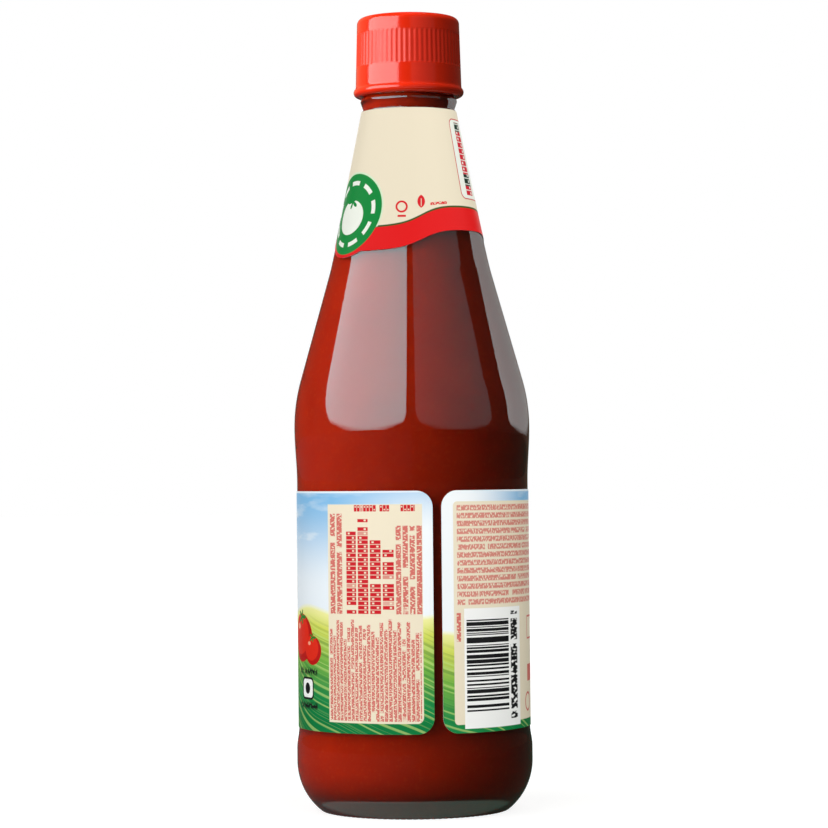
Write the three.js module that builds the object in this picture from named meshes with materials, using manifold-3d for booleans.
// A filled glass ketchup bottle with a red screw cap, a neck label and a wrap-round body label.
// Millimetres, +Z up, origin at the centre of the base, with the labels' seam side towards -Y.
import * as THREE from "three";
import { mergeVertices } from "three/addons/utils/BufferGeometryUtils.js";
import Module from "manifold-3d";

const wasm = await Module();
wasm.setup();

// Driving dimensions of the glass, outside
const BODY_RADIUS = 34; // at the two bumper rings, above and below the label
const PANEL_RADIUS = 33.35; // the label panel between the rings
const HEEL_RADIUS = 18; // curve from the side into the base
const HEEL_TOP = 14.35; // where that curve meets the lower ring
const FOOT_INNER_RADIUS = 23.5; // inner edge of the flat ring that the bottle stands on
const PUSH_UP = 2.2; // height of the hollow under the base
const LOWER_RING_TOP = 18.2;
const PANEL_BOTTOM = 24.2;
const PANEL_TOP = 94.5;
const SHOULDER_HEIGHT = 110.5; // widest point of the upper ring
const SHOULDER_RADIUS = 50; // curve from the ring into the cone
const CONE_SLOPE = 0.282; // radius lost for each millimetre of height on the cone
const CONE_TOP = 155.3;
const NECK_TOP = 202.2;
const NECK_TOP_RADIUS = 13.55;
const NECK_TOP_SLOPE = 0.2;
const BEAD_RADIUS = 14.15; // glass ring just under the cap
const BEAD_TOP = 206;
const BEAD_CORNER = 1.9;
const FINISH_RADIUS = 12.6; // plain mouth of the bottle inside the cap
const MOUTH_HEIGHT = 226.5;
const MOUTH_RADIUS = 10;

// Driving dimensions of the glass, inside
const WALL = 2.8;
const BASE_THICKNESS = 6.4;
const INNER_HEEL_RADIUS = 8;

// Contents
const FILL_HEIGHT = 208;
const CONTENTS_GAP = 0.3;

// Screw cap
const CAP_BOTTOM = 206.3;
const CAP_TOP = 229.7;
const CAP_TOP_RADIUS = 14.85;
const CAP_SKIRT_RADIUS = 15.35;
const CAP_FLANGE_RADIUS = 16;
const CAP_FLANGE_HEIGHT = 2.7;
const CAP_CORNER = 1.9;
const CAP_DOME = 0.4;
const CAP_INNER_RADIUS = 13.1;
const CAP_INNER_TOP = 226.8;
const RIB_COUNT = 64;
const RIB_BOTTOM = 214.8;
const RIB_TOP = 224.5;
const GROOVE_DEPTH = 0.2;

// Paper labels
const LABEL_GAP = 0.1;
const LABEL_THICKNESS = 0.15;
const BODY_LABEL_BOTTOM = 24.4;
const BODY_LABEL_TOP = 92.3;
const BODY_LABEL_CORNER = 4.6;
const SEAM_WIDTH = 2.5;
const SEAM_ANGLE = 11.7; // degrees from -Y towards +X
const NECK_LABEL_TOP = 201.9;
const WAVE_MEAN = 163.5; // wavy lower edge of the neck label
const WAVE_RISE = 2.95;
const WAVE_CLIMB_ANGLE = 9; // where the wave climbs through its mean
const WAVE_STEEPNESS = 1.6; // how much its crests and hollows are flattened
const WAVES_ROUND = 2;
const DISC_ANGLE = -57.5; // round stamp, whose lower edge the neck label follows
const DISC_HEIGHT = 171.6;
const DISC_MARGIN_RADIUS = 12.6;
const DISC_NECK_RADIUS = 20; // neck radius at the stamp

// Facets
const ROUND = 56;
const CORNER_STEPS = 3;

const radians = THREE.MathUtils.degToRad;
const point = (r, z) => new THREE.Vector2(r, z);

// Points of a circular arc in the profile plane, angles in degrees from +R.
function arc(centreR, centreZ, radius, from, to, steps) {
  return Array.from({ length: steps + 1 }, (_, i) => {
    const a = radians(from + ((to - from) * i) / steps);
    return point(centreR + radius * Math.cos(a), centreZ + radius * Math.sin(a));
  });
}

// A gentle S from one radius and height to another, upright at both ends.
function ease(r0, z0, r1, z1, steps) {
  return Array.from({ length: steps + 1 }, (_, i) => {
    const t = i / steps;
    return point(r0 + (r1 - r0) * (0.5 - 0.5 * Math.cos(Math.PI * t)), z0 + (z1 - z0) * t);
  });
}

// Turns a profile, given from the bottom up along its outside, round Z.
function revolve(profile) {
  return new THREE.LatheGeometry(profile, ROUND).rotateX(Math.PI / 2);
}

function solid(geometry) {
  const bare = geometry.clone();
  bare.deleteAttribute("normal");
  bare.deleteAttribute("uv");
  const merged = mergeVertices(bare, 1e-4);
  return new wasm.Manifold(
    new wasm.Mesh({
      numProp: 3,
      vertProperties: merged.attributes.position.array,
      triVerts: new Uint32Array(merged.index.array),
    }),
  );
}

function geometryOf(made) {
  const mesh = made.getMesh();
  const geometry = new THREE.BufferGeometry();
  geometry.setAttribute("position", new THREE.BufferAttribute(mesh.vertProperties, 3));
  geometry.setIndex(new THREE.BufferAttribute(mesh.triVerts, 1));
  geometry.computeVertexNormals();
  return geometry;
}

// Shoulder, cone and neck: an arc that turns inwards by the cone's angle, a straight
// cone, and a quadratic curve that leans back upright towards the mouth.
const coneAngle = THREE.MathUtils.radToDeg(Math.atan(CONE_SLOPE));
const shoulderArc = (steps) =>
  arc(BODY_RADIUS - SHOULDER_RADIUS, SHOULDER_HEIGHT, SHOULDER_RADIUS, 0, coneAngle, steps);
const shoulder = shoulderArc(3);
const coneFoot = shoulder[shoulder.length - 1];
const coneTop = point(coneFoot.x - CONE_SLOPE * (CONE_TOP - coneFoot.y), CONE_TOP);
const neckTop = point(NECK_TOP_RADIUS, NECK_TOP);
const bendHeight =
  (coneTop.x - neckTop.x + CONE_SLOPE * coneTop.y - NECK_TOP_SLOPE * neckTop.y) /
  (CONE_SLOPE - NECK_TOP_SLOPE);
const bend = point(coneTop.x - CONE_SLOPE * (bendHeight - coneTop.y), bendHeight);
const neckCurve = new THREE.QuadraticBezierCurve(coneTop, bend, neckTop);
const neck = neckCurve.getPoints(5);

// The same stretch moved sideways by an amount, for the inner wall and the neck label.
const shifted = (points, by) => points.map((p) => point(p.x + by, p.y));

function glassBottle() {
  const heelStart = THREE.MathUtils.radToDeg(Math.asin(-HEEL_TOP / HEEL_RADIUS));
  const heel = arc(BODY_RADIUS - HEEL_RADIUS, HEEL_TOP, HEEL_RADIUS, heelStart, 0, 5);
  const outside = [
    point(0, PUSH_UP),
    point(FOOT_INNER_RADIUS * 0.6, PUSH_UP * 0.75),
    point(FOOT_INNER_RADIUS, 0),
    ...heel,
    ...ease(BODY_RADIUS, LOWER_RING_TOP, PANEL_RADIUS, PANEL_BOTTOM, 2),
    ...ease(PANEL_RADIUS, PANEL_TOP, BODY_RADIUS, SHOULDER_HEIGHT, 3).slice(0, -1),
    ...shoulder,
    ...neck,
    ...arc(BEAD_RADIUS - BEAD_CORNER, NECK_TOP + BEAD_CORNER, BEAD_CORNER, -46, 0, 2),
    ...arc(BEAD_RADIUS - BEAD_CORNER, BEAD_TOP - BEAD_CORNER, BEAD_CORNER, 0, 70, 2).slice(1),
    point(FINISH_RADIUS, BEAD_TOP),
    point(FINISH_RADIUS, MOUTH_HEIGHT),
  ];
  const inside = [...innerWall(0), point(MOUTH_RADIUS, MOUTH_HEIGHT)].reverse();
  return revolve([...outside, ...inside]);
}

// The inner wall from the middle of the base up to the bore of the mouth, moved inwards by a gap.
function innerWall(gap) {
  const side = PANEL_RADIUS - WALL - gap;
  const floor = BASE_THICKNESS + gap;
  const radius = INNER_HEEL_RADIUS - gap;
  const bore = MOUTH_RADIUS - gap;
  return [
    point(0, floor),
    ...arc(side - radius, floor + radius, radius, -90, 0, 4),
    point(side, PANEL_TOP),
    point(BODY_RADIUS - WALL - gap, SHOULDER_HEIGHT),
    ...shifted([...shoulderArc(2).slice(1), ...neckCurve.getPoints(3)], -WALL - gap),
    point(bore, BEAD_TOP),
  ];
}

function ketchup() {
  const bore = MOUTH_RADIUS - CONTENTS_GAP;
  return revolve([...innerWall(CONTENTS_GAP), point(bore, FILL_HEIGHT), point(0, FILL_HEIGHT)]);
}

function capShell() {
  const flange = CAP_FLANGE_HEIGHT / 2;
  const crestTop = THREE.MathUtils.mapLinear(RIB_TOP, CAP_BOTTOM, CAP_TOP, CAP_SKIRT_RADIUS, CAP_TOP_RADIUS);
  const crestBottom = THREE.MathUtils.mapLinear(RIB_BOTTOM, CAP_BOTTOM, CAP_TOP, CAP_SKIRT_RADIUS, CAP_TOP_RADIUS);
  return revolve([
    point(CAP_INNER_RADIUS, CAP_BOTTOM),
    ...arc(CAP_FLANGE_RADIUS - flange, CAP_BOTTOM + flange, flange, -90, 40, 5),
    point(CAP_SKIRT_RADIUS, CAP_BOTTOM + CAP_FLANGE_HEIGHT),
    point(crestBottom, RIB_BOTTOM),
    point(crestBottom - GROOVE_DEPTH, RIB_BOTTOM + GROOVE_DEPTH),
    point(crestTop - GROOVE_DEPTH, RIB_TOP - GROOVE_DEPTH),
    point(crestTop, RIB_TOP),
    ...arc(CAP_TOP_RADIUS - CAP_CORNER, CAP_TOP - CAP_DOME - CAP_CORNER, CAP_CORNER, 0, 90, CORNER_STEPS),
    point(0, CAP_TOP),
    point(0, CAP_INNER_TOP),
    point(CAP_INNER_RADIUS, CAP_INNER_TOP),
    point(CAP_INNER_RADIUS, CAP_BOTTOM),
  ]);
}

// A ring whose outline swells into a rounded rib for each part of a turn, for the grip of the cap.
function gripRing() {
  const crest = THREE.MathUtils.mapLinear(RIB_BOTTOM, CAP_BOTTOM, CAP_TOP, CAP_SKIRT_RADIUS, CAP_TOP_RADIUS);
  const taper = CAP_TOP_RADIUS / CAP_SKIRT_RADIUS;
  const POINTS_PER_RIB = 3;
  const outline = Array.from({ length: RIB_COUNT * POINTS_PER_RIB }, (_, i) => {
    const turn = (2 * Math.PI * i) / (RIB_COUNT * POINTS_PER_RIB);
    const r = crest - 0.05 - GROOVE_DEPTH * (0.5 + 0.5 * Math.cos(RIB_COUNT * turn));
    return point(r * Math.cos(turn), r * Math.sin(turn));
  });
  const shape = new THREE.Shape(outline);
  shape.holes.push(new THREE.Path().absarc(0, 0, CAP_INNER_RADIUS + 0.6, 0, 2 * Math.PI, true));
  const height = RIB_TOP - RIB_BOTTOM;
  const ring = new THREE.ExtrudeGeometry(shape, { depth: height, bevelEnabled: false, curveSegments: 24 });
  const lean = 1 - ((1 - taper) * height) / (CAP_TOP - CAP_BOTTOM);
  const at = ring.attributes.position;
  for (let i = 0; i < at.count; i++) {
    const scale = THREE.MathUtils.lerp(1, lean, at.getZ(i) / height);
    at.setXY(i, at.getX(i) * scale, at.getY(i) * scale);
  }
  return ring.translate(0, 0, RIB_BOTTOM);
}

function screwCap() {
  return geometryOf(solid(capShell()).add(solid(gripRing())));
}

// A closed sleeve of paper round the profile given.
function sleeve(inner, thickness) {
  const outer = shifted(inner, thickness);
  return revolve([...outer, ...inner.slice().reverse(), outer[0]]);
}

// What is cut away at the seam of the body label: a slot that flares into the four rounded corners.
function seamCutter() {
  const half = SEAM_WIDTH / 2;
  const low = BODY_LABEL_BOTTOM;
  const high = BODY_LABEL_TOP;
  const corner = BODY_LABEL_CORNER;
  const over = 2;
  const slot = new THREE.Shape();
  slot.moveTo(-half - corner, low - over);
  slot.lineTo(half + corner, low - over);
  slot.lineTo(half + corner, low);
  slot.absarc(half + corner, low + corner, corner, -Math.PI / 2, -Math.PI, true);
  slot.lineTo(half, high - corner);
  slot.absarc(half + corner, high - corner, corner, Math.PI, Math.PI / 2, true);
  slot.lineTo(half + corner, high + over);
  slot.lineTo(-half - corner, high + over);
  slot.lineTo(-half - corner, high);
  slot.absarc(-half - corner, high - corner, corner, Math.PI / 2, 0, true);
  slot.lineTo(-half, low + corner);
  slot.absarc(-half - corner, low + corner, corner, 0, -Math.PI / 2, true);
  const depth = BODY_RADIUS;
  const block = new THREE.ExtrudeGeometry(slot, { depth, bevelEnabled: false, curveSegments: 6 });
  return block
    .rotateX(Math.PI / 2)
    .translate(0, -BODY_RADIUS / 2, 0)
    .rotateZ(radians(SEAM_ANGLE));
}

function bodyLabel() {
  const r = PANEL_RADIUS + LABEL_GAP;
  const wrap = sleeve([point(r, BODY_LABEL_BOTTOM), point(r, BODY_LABEL_TOP)], LABEL_THICKNESS);
  return geometryOf(solid(wrap).subtract(solid(seamCutter())));
}

// Height of the neck label's lower edge at an angle from -Y towards +X: a wave, or the round stamp's edge.
function neckLabelEdge(angle) {
  const swing = Math.sin(radians(WAVES_ROUND * (angle - WAVE_CLIMB_ANGLE)));
  const wave = WAVE_MEAN + (WAVE_RISE * Math.tanh(WAVE_STEEPNESS * swing)) / Math.tanh(WAVE_STEEPNESS);
  const turn = THREE.MathUtils.euclideanModulo(angle - DISC_ANGLE + 180, 360) - 180;
  const along = radians(turn) * DISC_NECK_RADIUS;
  if (Math.abs(along) >= DISC_MARGIN_RADIUS) return wave;
  return Math.min(wave, DISC_HEIGHT - Math.sqrt(DISC_MARGIN_RADIUS ** 2 - along ** 2));
}

// Everything below the neck label's lower edge: a drum whose rim rises and falls with it.
function edgeCutter() {
  const radius = 40;
  const height = 60;
  const steps = ROUND * 2;
  const drum = new THREE.CylinderGeometry(radius, radius, height, steps).rotateX(Math.PI / 2);
  const at = drum.attributes.position;
  for (let i = 0; i < at.count; i++) {
    if (at.getZ(i) < 0) {
      at.setZ(i, WAVE_MEAN - height);
    } else if (Math.hypot(at.getX(i), at.getY(i)) < 1) {
      at.setZ(i, WAVE_MEAN);
    } else {
      const angle = THREE.MathUtils.radToDeg(Math.atan2(at.getX(i), -at.getY(i)));
      const edge = neckLabelEdge(angle);
      // The rim stands outside the paper, so it is set to pass through the edge's height there.
      at.setZ(i, WAVE_MEAN + ((edge - WAVE_MEAN) * radius) / DISC_NECK_RADIUS);
    }
  }
  return drum;
}

function neckLabel() {
  const lowest = DISC_HEIGHT - DISC_MARGIN_RADIUS - 2;
  const under = point(coneTop.x + CONE_SLOPE * (CONE_TOP - lowest), lowest);
  const above = neck.filter((p) => p.y > lowest && p.y < NECK_LABEL_TOP);
  const topRadius = NECK_TOP_RADIUS + NECK_TOP_SLOPE * (NECK_TOP - NECK_LABEL_TOP);
  const path = shifted([under, ...above, point(topRadius, NECK_LABEL_TOP)], LABEL_GAP);
  return geometryOf(solid(sleeve(path, LABEL_THICKNESS)).subtract(solid(edgeCutter())));
}

function piece(name, geometry, color, roughness, extra = {}) {
  const material = new THREE.MeshStandardMaterial({ color, roughness, metalness: 0, ...extra });
  const mesh = new THREE.Mesh(geometry, material);
  mesh.name = name;
  return mesh;
}

const bottle = new THREE.Group();
bottle.add(
  piece("glass_bottle", glassBottle(), 0xdfe6e2, 0.05, { transparent: true, opacity: 0.35 }),
  piece("ketchup", ketchup(), 0x9a1c0c, 0.4),
  piece("screw_cap", screwCap(), 0xd8200f, 0.3),
  piece("neck_label", neckLabel(), 0xece2cc, 0.6),
  piece("body_label", bodyLabel(), 0xcfe0d8, 0.6),
);

export default bottle;
